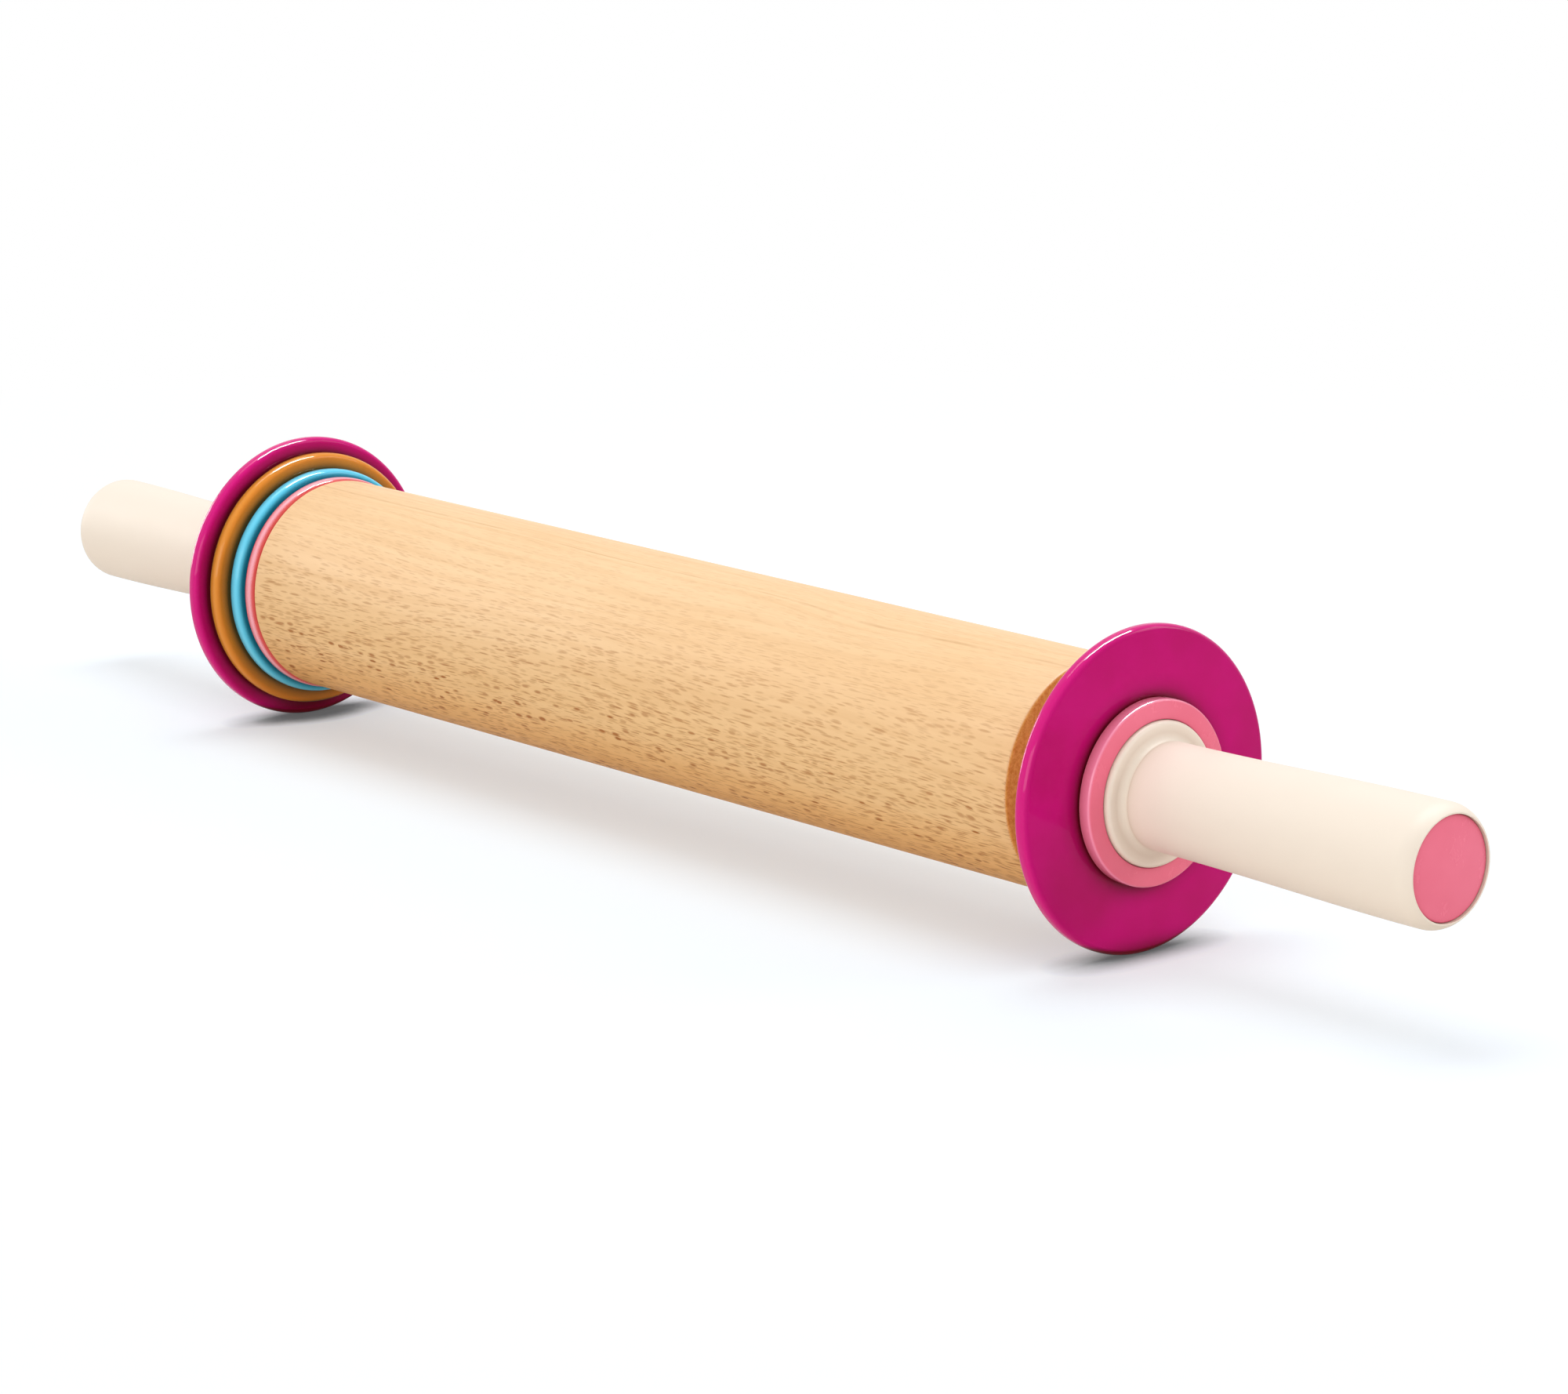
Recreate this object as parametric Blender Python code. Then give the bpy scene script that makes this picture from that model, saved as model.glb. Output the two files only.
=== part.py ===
"""Adjustable rolling pin: a beech roller with stepped hubs, thickness rings, lock collars and handles.

The pin lies along X on its two largest rings. Metres, +Z up, origin on the table under its middle.
Every end piece is drawn in the frame of its end: x runs outwards from the roller's end face along
the axle, and r is the distance from the axle's centre line. Radii are built up from the axle rod
outwards, so that each piece clears or seats on the one inside it.
"""
import math

import bmesh
import bpy
from mathutils import Matrix

MM = 0.001

# Facets round a circle and along a curve
ROUND_SEGMENTS = 48
HUB_SEGMENTS = 32
RING_SEGMENTS = 24
SMALL_SEGMENTS = 24
SCREW_SEGMENTS = 10
NUT_SIDES = 6
EDGE_STEPS = 2
CURVE_STEPS = 4
SMOOTH_ANGLE = math.radians(35)
MERGE_DISTANCE = 0.001 * MM

# Clearances
SEAT_GAP = 0.3 * MM
SLIDE_GAP = 0.2 * MM
RUNNING_GAP = 0.1 * MM
CUT_OVERRUN = 1.0 * MM

# Lengths along the axle
ROLLER_LENGTH = 246.0 * MM
HANDLE_REACH = 72.8 * MM
RING_THICKNESS = 3.2 * MM
RING_EDGE_SHARE = 0.375

# Axle rod, its nuts and washers
ROD_RADIUS = 4.0 * MM
ROD_SHOULDER_STEP = 1.0 * MM
ROD_END_CHAMFER = 0.5 * MM
ROD_END_PAST_NUT = 1.2 * MM
NUT_WALL = 2.0 * MM
NUT_THICKNESS = 5.0 * MM
AXLE_WASHER_THICKNESS = 1.2 * MM
AXLE_WASHER_ROOM = 0.9 * MM
THRUST_WASHER_THICKNESS = 1.2 * MM
THRUST_WASHER_WIDTH = 3.3 * MM
BUSH_WALL = 2.1 * MM
BUSH_LENGTH = 14.0 * MM

# Handle, from the nut's chamber outwards, and its end cap
WRENCH_ROOM = 2.7 * MM
ROD_TIP_ROOM = 3.2 * MM
HANDLE_BORE_ROOM = 1.0 * MM
CAP_LEDGE = 1.25 * MM
CAP_THICKNESS = 2.3 * MM
CAP_EDGE = 0.4 * MM
CAP_CROWN = 0.3 * MM
CAP_SKIRT_LENGTH = 3.0 * MM
CAP_SKIRT_WALL = 0.9 * MM
HANDLE_END_RIM = 0.3 * MM
HANDLE_END_ROUNDING = 5.0 * MM
HANDLE_END_ROUNDING_ANGLE = 45
HANDLE_WAIST_DEPTH = 0.7 * MM
HANDLE_NECK_LENGTH = 2.0 * MM
GRIP_SWELL_SHARES = (0.0, 0.22, 0.5, 0.78, 1.0)
FLANGE_STEP = 2.4 * MM
FLANGE_THICKNESS = 2.2 * MM
FLANGE_PROUD = 1.0 * MM
FLANGE_OVERHANG = 1.3 * MM
FLANGE_LIP_EDGE = 0.9 * MM
FLANGE_LIP_SHARE = 0.42
FLANGE_DISH_SHARE = 0.22
FLANGE_DISH_DEPTH = 0.5 * MM

# Lock collar and the washer under it
COLLAR_SLEEVE_WALL = 1.0 * MM
COLLAR_SLEEVE_ROOM = 4.1 * MM
COLLAR_OVERLAP = 1.4 * MM
COLLAR_THICKNESS = 1.9 * MM
COLLAR_EDGE = 0.6 * MM
COLLAR_BORE_EDGE = 0.3 * MM
COLLAR_WASHER_OVERLAP = 0.5 * MM
COLLAR_WASHER_THICKNESS = 0.5 * MM

# Hub and its screws
HUB_MOUTH_WALL = 0.9 * MM
HUB_SEAT_STEP = 0.8 * MM
HUB_SET_BACK = 0.2 * MM
HUB_FLOOR = 2.0 * MM
HUB_SHOULDER = 3.0 * MM
HUB_PLUG_DEPTH = 8.0 * MM
SCREW_COUNT = 3
SCREW_RADIUS = 1.75 * MM
SCREW_HEAD_OVERHANG = 1.35 * MM
SCREW_HEAD_DEPTH = 1.8 * MM
SCREW_EDGE = 1.2 * MM
SCREW_LENGTH = 24.0 * MM
SCREW_TIP = 3.0 * MM

# Roller, and how far each ring stands out past the wood: the thickness of the dough
ROLLER_SHOULDER = 4.6 * MM
ROLLER_EDGE = 0.8 * MM
PINK_RING_HEIGHT = 0.5 * MM
BLUE_RING_HEIGHT = 2.0 * MM
ORANGE_RING_HEIGHT = 5.2 * MM
MAGENTA_RING_HEIGHT = 8.4 * MM
RING_NAMES = ("pink", "blue", "orange", "magenta")
RING_HEIGHTS = (PINK_RING_HEIGHT, BLUE_RING_HEIGHT, ORANGE_RING_HEIGHT, MAGENTA_RING_HEIGHT)

# Radii, from the rod outwards
ROD_END_RADIUS = ROD_RADIUS - ROD_SHOULDER_STEP
BUSH_RADIUS = ROD_RADIUS + RUNNING_GAP + BUSH_WALL
NUT_CORNER_RADIUS = (ROD_END_RADIUS + NUT_WALL) / math.cos(math.pi / NUT_SIDES)
CHAMBER_RADIUS = NUT_CORNER_RADIUS + WRENCH_ROOM
CAP_RADIUS = CHAMBER_RADIUS + CAP_LEDGE
HANDLE_RIM_RADIUS = CAP_RADIUS + SEAT_GAP + HANDLE_END_RIM
HANDLE_END_DROP = HANDLE_END_ROUNDING * (1 - math.cos(math.radians(HANDLE_END_ROUNDING_ANGLE)))
HANDLE_END_RADIUS = HANDLE_RIM_RADIUS + HANDLE_END_DROP
HANDLE_NECK_RADIUS = HANDLE_END_RADIUS - HANDLE_WAIST_DEPTH
FLANGE_RADIUS = HANDLE_END_RADIUS + FLANGE_STEP
COLLAR_BORE_RADIUS = FLANGE_RADIUS + SEAT_GAP
COLLAR_SLEEVE_RADIUS = COLLAR_BORE_RADIUS + COLLAR_SLEEVE_WALL
HUB_BORE_RADIUS = COLLAR_SLEEVE_RADIUS + SLIDE_GAP
OUTER_SEAT_RADIUS = HUB_BORE_RADIUS + HUB_MOUTH_WALL
OUTER_RING_BORE = OUTER_SEAT_RADIUS + SLIDE_GAP
INNER_SEAT_RADIUS = OUTER_SEAT_RADIUS + (len(RING_NAMES) - 1) * HUB_SEAT_STEP
ROLLER_RADIUS = INNER_SEAT_RADIUS + ROLLER_SHOULDER

# Places along the axle, outwards from the roller's end face
RING_PITCH = RING_THICKNESS + SEAT_GAP
RINGS_END = len(RING_NAMES) * RING_PITCH
COLLAR_BACK = RINGS_END + SEAT_GAP + COLLAR_WASHER_THICKNESS + SEAT_GAP
COLLAR_FACE = COLLAR_BACK + COLLAR_THICKNESS
FLANGE_FACE = COLLAR_FACE + FLANGE_PROUD
HANDLE_END = FLANGE_FACE + HANDLE_REACH
BOSS_BACK = HUB_FLOOR + SEAT_GAP + THRUST_WASHER_THICKNESS + SEAT_GAP
CAP_BACK = HANDLE_END - CAP_CROWN - CAP_THICKNESS
ROD_TIP = CAP_BACK - ROD_TIP_ROOM
NUT_BACK = ROD_TIP - ROD_END_PAST_NUT - NUT_THICKNESS
AXLE_WASHER_BACK = NUT_BACK - SEAT_GAP - AXLE_WASHER_THICKNESS
ROD_SHOULDER = AXLE_WASHER_BACK - SEAT_GAP
CHAMBER_FLOOR = ROD_SHOULDER - SEAT_GAP
BUSH_BACKS = {"inner": BOSS_BACK + SEAT_GAP, "outer": CHAMBER_FLOOR - SEAT_GAP - BUSH_LENGTH}

# The largest rings stand on a flat of their rims
AXLE_HEIGHT = ROLLER_RADIUS + max(RING_HEIGHTS)

# Finish of each material: colour, roughness, metallic
FINISHES = {
    "beech": ((0.80, 0.58, 0.36), 0.55, 0.0),
    "magenta_plastic": ((0.60, 0.01, 0.13), 0.18, 0.0),
    "orange_plastic": ((0.66, 0.26, 0.03), 0.18, 0.0),
    "blue_plastic": ((0.13, 0.57, 0.80), 0.18, 0.0),
    "pink_plastic": ((0.90, 0.38, 0.45), 0.18, 0.0),
    "coral_plastic": ((0.84, 0.17, 0.26), 0.35, 0.0),
    "cream_plastic": ((0.90, 0.83, 0.72), 0.38, 0.0),
    "white_nylon": ((0.85, 0.85, 0.82), 0.45, 0.0),
    "dark_rubber": ((0.03, 0.01, 0.015), 0.7, 0.0),
    "steel": ((0.62, 0.62, 0.62), 0.3, 1.0),
}


def clear_scene():
    for old in list(bpy.data.objects):
        bpy.data.objects.remove(old, do_unlink=True)


def make_material(name):
    color, roughness, metallic = FINISHES[name]
    material = bpy.data.materials.new(name)
    material.use_nodes = True
    shader = material.node_tree.nodes["Principled BSDF"]
    shader.inputs["Base Color"].default_value = (*color, 1.0)
    shader.inputs["Roughness"].default_value = roughness
    shader.inputs["Metallic"].default_value = metallic
    material.diffuse_color = (*color, 1.0)
    return material


def arc(centre, radii, start, stop, steps=EDGE_STEPS):
    """Points of an elliptic arc in (x, r), from start to stop in degrees, 0 along +x."""
    points = []
    for i in range(steps + 1):
        angle = math.radians(start + (stop - start) * i / steps)
        points.append((centre[0] + radii[0] * math.cos(angle), centre[1] + radii[1] * math.sin(angle)))
    return points


def rounded_rim(back, front, radius, edge):
    """The outer rim of a disc between two faces, with both its edges rounded."""
    radii = (edge, edge)
    rim = arc((back + edge, radius - edge), radii, 180, 90)
    return rim + arc((front - edge, radius - edge), radii, 90, 0)


def spin_mesh(profile, segments, places=((0.0, 0.0),)):
    """Turns a closed (x, r) outline about X at each (y, z) place.

    The flats touch the circle of radius r, and one of them faces straight down.
    """
    bm = bmesh.new()
    half_flat = math.tan(math.pi / segments)
    for y, z in places:
        corners = [bm.verts.new((x, y + r * half_flat, z - r)) for x, r in profile]
        edges = [bm.edges.new((corners[i - 1], corners[i])) for i in range(len(corners))]
        bmesh.ops.spin(
            bm, geom=edges, cent=(0, y, z), axis=(1, 0, 0), angle=math.tau, steps=segments,
            use_merge=True, use_duplicate=False,
        )
    return bm


def finish_mesh(bm, name):
    """Joins coincident points, turns the faces outwards and shades the round surfaces smooth."""
    bmesh.ops.remove_doubles(bm, verts=bm.verts, dist=MERGE_DISTANCE)
    bmesh.ops.dissolve_degenerate(bm, edges=bm.edges, dist=MERGE_DISTANCE)
    bmesh.ops.recalc_face_normals(bm, faces=bm.faces)
    mesh = bpy.data.meshes.new(name)
    bm.to_mesh(mesh)
    bm.free()
    mesh.shade_smooth()
    mesh.set_sharp_from_angle(angle=SMOOTH_ANGLE)
    return mesh


def turned(name, profile, material, parent, segments=ROUND_SEGMENTS):
    """A piece turned about the axle from one closed outline."""
    mesh = finish_mesh(spin_mesh(profile, segments), name)
    mesh.materials.append(material)
    piece = bpy.data.objects.new(name, mesh)
    bpy.context.scene.collection.objects.link(piece)
    piece.parent = parent
    return piece


def cut(piece, name, profile, segments, parent, places=((0.0, 0.0),)):
    """Cuts a turned shape out of a piece, at each (y, z) place."""
    cutter = bpy.data.objects.new(name, finish_mesh(spin_mesh(profile, segments, places), name))
    bpy.context.scene.collection.objects.link(cutter)
    cutter.parent = parent
    cutter.hide_render = True
    cutter.display_type = "WIRE"
    modifier = piece.modifiers.new(name, "BOOLEAN")
    modifier.operation = "DIFFERENCE"
    modifier.solver = "EXACT"
    modifier.object = cutter


def tube(start, end, inner, outer):
    """Outline of a plain washer or sleeve."""
    return [(start, inner), (start, outer), (end, outer), (end, inner)]


def rod_outline(start, end, radius):
    """Outline of a plain solid cylinder."""
    return [(start, 0), (start, radius), (end, radius), (end, 0)]


def ring_back(index):
    """Where the inner face of a ring lies, counted from the roller."""
    return SEAT_GAP + index * RING_PITCH


def seat_radius(index):
    """Radius of the hub's seat for a ring: the seats step down outwards."""
    return INNER_SEAT_RADIUS - index * HUB_SEAT_STEP


def screw_places():
    """Centres of the hub's screws in (y, z)."""
    circle_radius = HUB_BORE_RADIUS - SCREW_EDGE - SCREW_RADIUS - SCREW_HEAD_OVERHANG
    angles = [math.tau * i / SCREW_COUNT for i in range(SCREW_COUNT)]
    return [(circle_radius * math.sin(angle), circle_radius * math.cos(angle)) for angle in angles]


def make_empty(name, x, angle=0.0):
    """An empty on the axle's centre line, turned about Z."""
    empty = bpy.data.objects.new(name, None)
    bpy.context.scene.collection.objects.link(empty)
    empty.matrix_world = Matrix.Translation((x, 0, AXLE_HEIGHT)) @ Matrix.Rotation(angle, 4, "Z")
    return empty


def make_roller(material, middle, ends):
    """The beech barrel: bored for the rod, counterbored for the hubs and drilled for their screws."""
    half = ROLLER_LENGTH / 2
    bore = ROD_RADIUS + SEAT_GAP
    pocket_radius = INNER_SEAT_RADIUS - HUB_SHOULDER + SEAT_GAP
    pocket_depth = HUB_PLUG_DEPTH + SEAT_GAP
    pocket_floor = half - pocket_depth
    profile = [(-pocket_floor, bore), (-pocket_floor, pocket_radius), (-half, pocket_radius)]
    profile += rounded_rim(-half, half, ROLLER_RADIUS, ROLLER_EDGE)
    profile += [(half, pocket_radius), (pocket_floor, pocket_radius), (pocket_floor, bore)]
    roller = turned("roller", profile, material, middle)
    hole_end = HUB_FLOOR - SCREW_LENGTH - SEAT_GAP
    hole = rod_outline(hole_end, CUT_OVERRUN - pocket_depth, SCREW_RADIUS + SEAT_GAP)
    for name, end in ends.items():
        cut(roller, f"pilot_holes_{name}", hole, SCREW_SEGMENTS, end, screw_places())


def make_rod(material, middle):
    """The steel rod through the whole pin, turned down at both ends for its nuts."""
    half = ROLLER_LENGTH / 2
    outline = [
        (half + ROD_SHOULDER, ROD_RADIUS), (half + ROD_SHOULDER, ROD_END_RADIUS),
        (half + ROD_TIP - ROD_END_CHAMFER, ROD_END_RADIUS),
        (half + ROD_TIP, ROD_END_RADIUS - ROD_END_CHAMFER), (half + ROD_TIP, 0),
    ]
    profile = [(-x, r) for x, r in reversed(outline)] + outline
    turned("axle_rod", profile, material, middle, SMALL_SEGMENTS)


def make_hub(name, material, end):
    """The moulded cup in the roller's end: a plug, one stepped seat per ring and the collar's bore."""
    rod_bore = ROD_RADIUS + SEAT_GAP
    plug_radius = INNER_SEAT_RADIUS - HUB_SHOULDER
    mouth = RINGS_END - HUB_SET_BACK
    profile = [(-HUB_PLUG_DEPTH, rod_bore), (-HUB_PLUG_DEPTH, plug_radius), (SEAT_GAP, plug_radius)]
    profile.append((SEAT_GAP, INNER_SEAT_RADIUS))
    for index in range(1, len(RING_NAMES)):
        step = index * RING_PITCH
        profile += [(step, seat_radius(index - 1)), (step, seat_radius(index))]
    profile += [(mouth, OUTER_SEAT_RADIUS), (mouth, HUB_BORE_RADIUS)]
    profile += [(HUB_FLOOR, HUB_BORE_RADIUS), (HUB_FLOOR, rod_bore)]
    hub = turned(f"hub_{name}", profile, material, end, HUB_SEGMENTS)
    hole_radius = SCREW_RADIUS + SEAT_GAP
    sink_radius = hole_radius + SCREW_HEAD_OVERHANG
    sink_top = HUB_FLOOR - SEAT_GAP
    hole = [
        (-HUB_PLUG_DEPTH - CUT_OVERRUN, 0), (-HUB_PLUG_DEPTH - CUT_OVERRUN, hole_radius),
        (sink_top - SCREW_HEAD_DEPTH, hole_radius), (sink_top, sink_radius),
        (HUB_FLOOR + CUT_OVERRUN, sink_radius), (HUB_FLOOR + CUT_OVERRUN, 0),
    ]
    cut(hub, f"screw_holes_{name}", hole, SCREW_SEGMENTS, end, screw_places())


def make_screws(name, material, end):
    """Countersunk screws through the hub's floor into the wood."""
    top = HUB_FLOOR - SEAT_GAP
    tip = HUB_FLOOR - SCREW_LENGTH
    profile = [
        (tip, 0), (tip + SCREW_TIP, SCREW_RADIUS), (top - SCREW_HEAD_DEPTH, SCREW_RADIUS),
        (top, SCREW_RADIUS + SCREW_HEAD_OVERHANG), (top, 0),
    ]
    for number, (y, z) in enumerate(screw_places(), start=1):
        screw = turned(f"hub_screw_{name}_{number}", profile, material, end, SCREW_SEGMENTS)
        screw.location = (0, y, z)


def make_ring(index, side_name, material, end):
    """A flat thickness ring with a rounded rim, on its own step of the hub."""
    back = ring_back(index)
    front = back + RING_THICKNESS
    bore = seat_radius(index) + SLIDE_GAP
    rim = rounded_rim(back, front, ROLLER_RADIUS + RING_HEIGHTS[index], RING_EDGE_SHARE * RING_THICKNESS)
    profile = [(back, bore)] + rim + [(front, bore)]
    turned(f"ring_{RING_NAMES[index]}_{side_name}", profile, material, end, RING_SEGMENTS)


def make_collar_washer(name, material, end):
    """The thin washer between the outer ring and the lock collar."""
    back = RINGS_END + SEAT_GAP
    outer = OUTER_RING_BORE + COLLAR_WASHER_OVERLAP
    profile = tube(back, back + COLLAR_WASHER_THICKNESS, HUB_BORE_RADIUS, outer)
    turned(f"collar_washer_{name}", profile, material, end, HUB_SEGMENTS)


def make_collar(name, material, end):
    """The lock collar: a flange that hides its washer and a sleeve that screws into the hub."""
    radius = OUTER_RING_BORE + COLLAR_OVERLAP
    recess_radius = OUTER_RING_BORE + COLLAR_WASHER_OVERLAP + SEAT_GAP
    recess_mouth = RINGS_END + SEAT_GAP
    sleeve_start = HUB_FLOOR + COLLAR_SLEEVE_ROOM
    profile = [(sleeve_start, COLLAR_BORE_RADIUS), (sleeve_start, COLLAR_SLEEVE_RADIUS)]
    profile += [(COLLAR_BACK, COLLAR_SLEEVE_RADIUS), (COLLAR_BACK, recess_radius)]
    profile += [(recess_mouth, recess_radius), (recess_mouth, radius)]
    profile += arc((COLLAR_FACE - COLLAR_EDGE, radius - COLLAR_EDGE), (COLLAR_EDGE, COLLAR_EDGE), 90, 0)
    profile += [(COLLAR_FACE, COLLAR_BORE_RADIUS + COLLAR_BORE_EDGE)]
    profile += [(COLLAR_FACE - COLLAR_BORE_EDGE, COLLAR_BORE_RADIUS)]
    turned(f"lock_collar_{name}", profile, material, end)


def make_thrust_washer(name, material, end):
    """The plain washer that the handle turns against."""
    back = HUB_FLOOR + SEAT_GAP
    inner = ROD_RADIUS + SEAT_GAP
    profile = tube(back, back + THRUST_WASHER_THICKNESS, inner, inner + THRUST_WASHER_WIDTH)
    turned(f"thrust_washer_{name}", profile, material, end, SMALL_SEGMENTS)


def make_bushes(name, material, end):
    """The handle's two plain bushes, which turn on the rod."""
    for place, back in BUSH_BACKS.items():
        profile = tube(back, back + BUSH_LENGTH, ROD_RADIUS + RUNNING_GAP, BUSH_RADIUS)
        turned(f"{place}_bush_{name}", profile, material, end, SMALL_SEGMENTS)


def make_axle_washer(name, material, end):
    """The steel washer between the rod's shoulder and the nut."""
    front = AXLE_WASHER_BACK + AXLE_WASHER_THICKNESS
    profile = tube(AXLE_WASHER_BACK, front, ROD_END_RADIUS + SEAT_GAP, CHAMBER_RADIUS - AXLE_WASHER_ROOM)
    turned(f"axle_washer_{name}", profile, material, end, SMALL_SEGMENTS)


def make_nut(name, material, end):
    """A hexagon nut on the rod's end."""
    front = NUT_BACK + NUT_THICKNESS
    profile = rod_outline(NUT_BACK, front, ROD_END_RADIUS + NUT_WALL)
    nut = turned(f"axle_nut_{name}", profile, material, end, NUT_SIDES)
    hole = rod_outline(NUT_BACK - CUT_OVERRUN, front + CUT_OVERRUN, ROD_END_RADIUS + SEAT_GAP)
    cut(nut, f"nut_bore_{name}", hole, SMALL_SEGMENTS, end)


def flange_outline():
    """The handle's boss and its lipped, slightly dished flange."""
    back = FLANGE_FACE - FLANGE_THICKNESS
    boss_radius = FLANGE_RADIUS - FLANGE_OVERHANG
    face_width = FLANGE_RADIUS - HANDLE_NECK_RADIUS
    lip_inner = FLANGE_RADIUS - FLANGE_LIP_SHARE * face_width
    points = [(BOSS_BACK, boss_radius), (back, boss_radius), (back, FLANGE_RADIUS)]
    lip_centre = (FLANGE_FACE - FLANGE_LIP_EDGE, FLANGE_RADIUS - FLANGE_LIP_EDGE)
    points += arc(lip_centre, (FLANGE_LIP_EDGE, FLANGE_LIP_EDGE), 90, 0)
    points += [(FLANGE_FACE, lip_inner)]
    points += [(FLANGE_FACE - FLANGE_DISH_DEPTH, lip_inner - FLANGE_DISH_SHARE * face_width)]
    return points


def grip_outline(start):
    """The hollow corner between the flange and the neck, the swelling grip and the rounded end."""
    neck_end = FLANGE_FACE + HANDLE_NECK_LENGTH
    grip_end = HANDLE_END - HANDLE_END_ROUNDING * math.sin(math.radians(HANDLE_END_ROUNDING_ANGLE))
    neck_radii = (neck_end - start[0], start[1] - HANDLE_NECK_RADIUS)
    points = arc((neck_end, start[1]), neck_radii, 180, 270, CURVE_STEPS)[1:-1]
    for share in GRIP_SWELL_SHARES:
        swell = (1 - math.cos(math.pi * share)) / 2
        place = neck_end + (grip_end - neck_end) * share
        points.append((place, HANDLE_NECK_RADIUS + HANDLE_WAIST_DEPTH * swell))
    centre = (grip_end, HANDLE_END_RADIUS - HANDLE_END_ROUNDING)
    radii = (HANDLE_END_ROUNDING, HANDLE_END_ROUNDING)
    return points + arc(centre, radii, 90, 90 - HANDLE_END_ROUNDING_ANGLE, CURVE_STEPS)[1:]


def handle_bore():
    """The hollow along the handle: two bush seats, the nut's chamber and the cap's recess."""
    seat = BUSH_RADIUS + SEAT_GAP
    bore = ROD_RADIUS + HANDLE_BORE_ROOM
    recess = CAP_RADIUS + SEAT_GAP
    inner_floor = BUSH_BACKS["inner"] + BUSH_LENGTH + SEAT_GAP
    outer_floor = BUSH_BACKS["outer"] - SEAT_GAP
    cap_seat = CAP_BACK - SEAT_GAP
    return [
        (BOSS_BACK - CUT_OVERRUN, 0), (BOSS_BACK - CUT_OVERRUN, seat),
        (inner_floor, seat), (inner_floor, bore), (outer_floor, bore), (outer_floor, seat),
        (CHAMBER_FLOOR, seat), (CHAMBER_FLOOR, CHAMBER_RADIUS), (cap_seat, CHAMBER_RADIUS),
        (cap_seat, recess), (HANDLE_END + CUT_OVERRUN, recess), (HANDLE_END + CUT_OVERRUN, 0),
    ]


def make_handle(name, material, end):
    """The handle, bored for its bushes, the nut and the cap."""
    flange = flange_outline()
    outside = flange + grip_outline(flange[-1])
    profile = [(outside[0][0], 0)] + outside + [(outside[-1][0], 0)]
    handle = turned(f"handle_{name}", profile, material, end)
    cut(handle, f"handle_bore_{name}", handle_bore(), HUB_SEGMENTS, end)


def make_cap(name, material, end):
    """The end cap: a crowned disc with a skirt that grips the nut's chamber."""
    face = HANDLE_END - CAP_CROWN
    skirt_outer = CHAMBER_RADIUS - SEAT_GAP
    skirt_inner = skirt_outer - CAP_SKIRT_WALL
    skirt_end = CAP_BACK - CAP_SKIRT_LENGTH
    profile = [(CAP_BACK, 0), (CAP_BACK, skirt_inner), (skirt_end, skirt_inner), (skirt_end, skirt_outer)]
    profile += [(CAP_BACK, skirt_outer), (CAP_BACK, CAP_RADIUS)]
    profile += arc((face - CAP_EDGE, CAP_RADIUS - CAP_EDGE), (CAP_EDGE, CAP_EDGE), 90, 0)
    profile += [(HANDLE_END, 0)]
    turned(f"end_cap_{name}", profile, material, end)


def make_end(name, end, ring_indices, materials):
    """Everything at one end of the roller."""
    make_hub(name, materials["cream_plastic"], end)
    make_screws(name, materials["steel"], end)
    for index in ring_indices:
        make_ring(index, name, materials[f"{RING_NAMES[index]}_plastic"], end)
    make_collar_washer(name, materials["dark_rubber"], end)
    make_collar(name, materials["coral_plastic"], end)
    make_thrust_washer(name, materials["white_nylon"], end)
    make_bushes(name, materials["white_nylon"], end)
    make_handle(name, materials["cream_plastic"], end)
    make_axle_washer(name, materials["steel"], end)
    make_nut(name, materials["steel"], end)
    make_cap(name, materials["coral_plastic"], end)


def main():
    clear_scene()
    materials = {name: make_material(name) for name in FINISHES}
    middle = make_empty("middle", 0)
    ends = {
        "left": make_empty("left_end", -ROLLER_LENGTH / 2, math.pi),
        "right": make_empty("right_end", ROLLER_LENGTH / 2),
    }
    make_roller(materials["beech"], middle, ends)
    make_rod(materials["steel"], middle)
    all_rings = range(len(RING_NAMES))
    make_end("left", ends["left"], all_rings, materials)
    make_end("right", ends["right"], all_rings[-1:], materials)


main()
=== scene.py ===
"""Looks of the adjustable rolling pin: fine turned pieces over the solids, finishes and the studio.

Every end piece is drawn in the frame of its end: x runs outwards from the roller's end face along
the axle, and r is the distance from the axle's centre line. Metres, +Z up.
"""
import math

import bmesh
import bpy
from mathutils import Matrix, Vector


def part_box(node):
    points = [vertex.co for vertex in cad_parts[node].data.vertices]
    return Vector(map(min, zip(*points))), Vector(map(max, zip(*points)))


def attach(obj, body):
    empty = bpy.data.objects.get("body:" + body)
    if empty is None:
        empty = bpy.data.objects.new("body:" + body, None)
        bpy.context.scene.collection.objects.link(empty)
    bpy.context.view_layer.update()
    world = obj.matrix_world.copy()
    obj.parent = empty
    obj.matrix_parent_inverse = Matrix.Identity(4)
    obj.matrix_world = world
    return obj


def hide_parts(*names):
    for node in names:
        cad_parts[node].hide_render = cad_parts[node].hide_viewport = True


MM = 0.001
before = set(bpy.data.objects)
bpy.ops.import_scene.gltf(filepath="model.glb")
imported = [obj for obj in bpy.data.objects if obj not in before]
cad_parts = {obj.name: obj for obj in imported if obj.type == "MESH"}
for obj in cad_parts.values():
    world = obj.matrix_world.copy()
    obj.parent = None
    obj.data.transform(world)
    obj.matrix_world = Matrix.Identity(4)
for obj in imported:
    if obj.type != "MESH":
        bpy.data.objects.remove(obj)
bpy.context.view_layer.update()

# Rings from the smallest to the largest, and the way that each end of the pin faces along X
RING_NAMES = ("pink", "blue", "orange", "magenta")
SIDES = {"left": -1, "right": 1}

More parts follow.
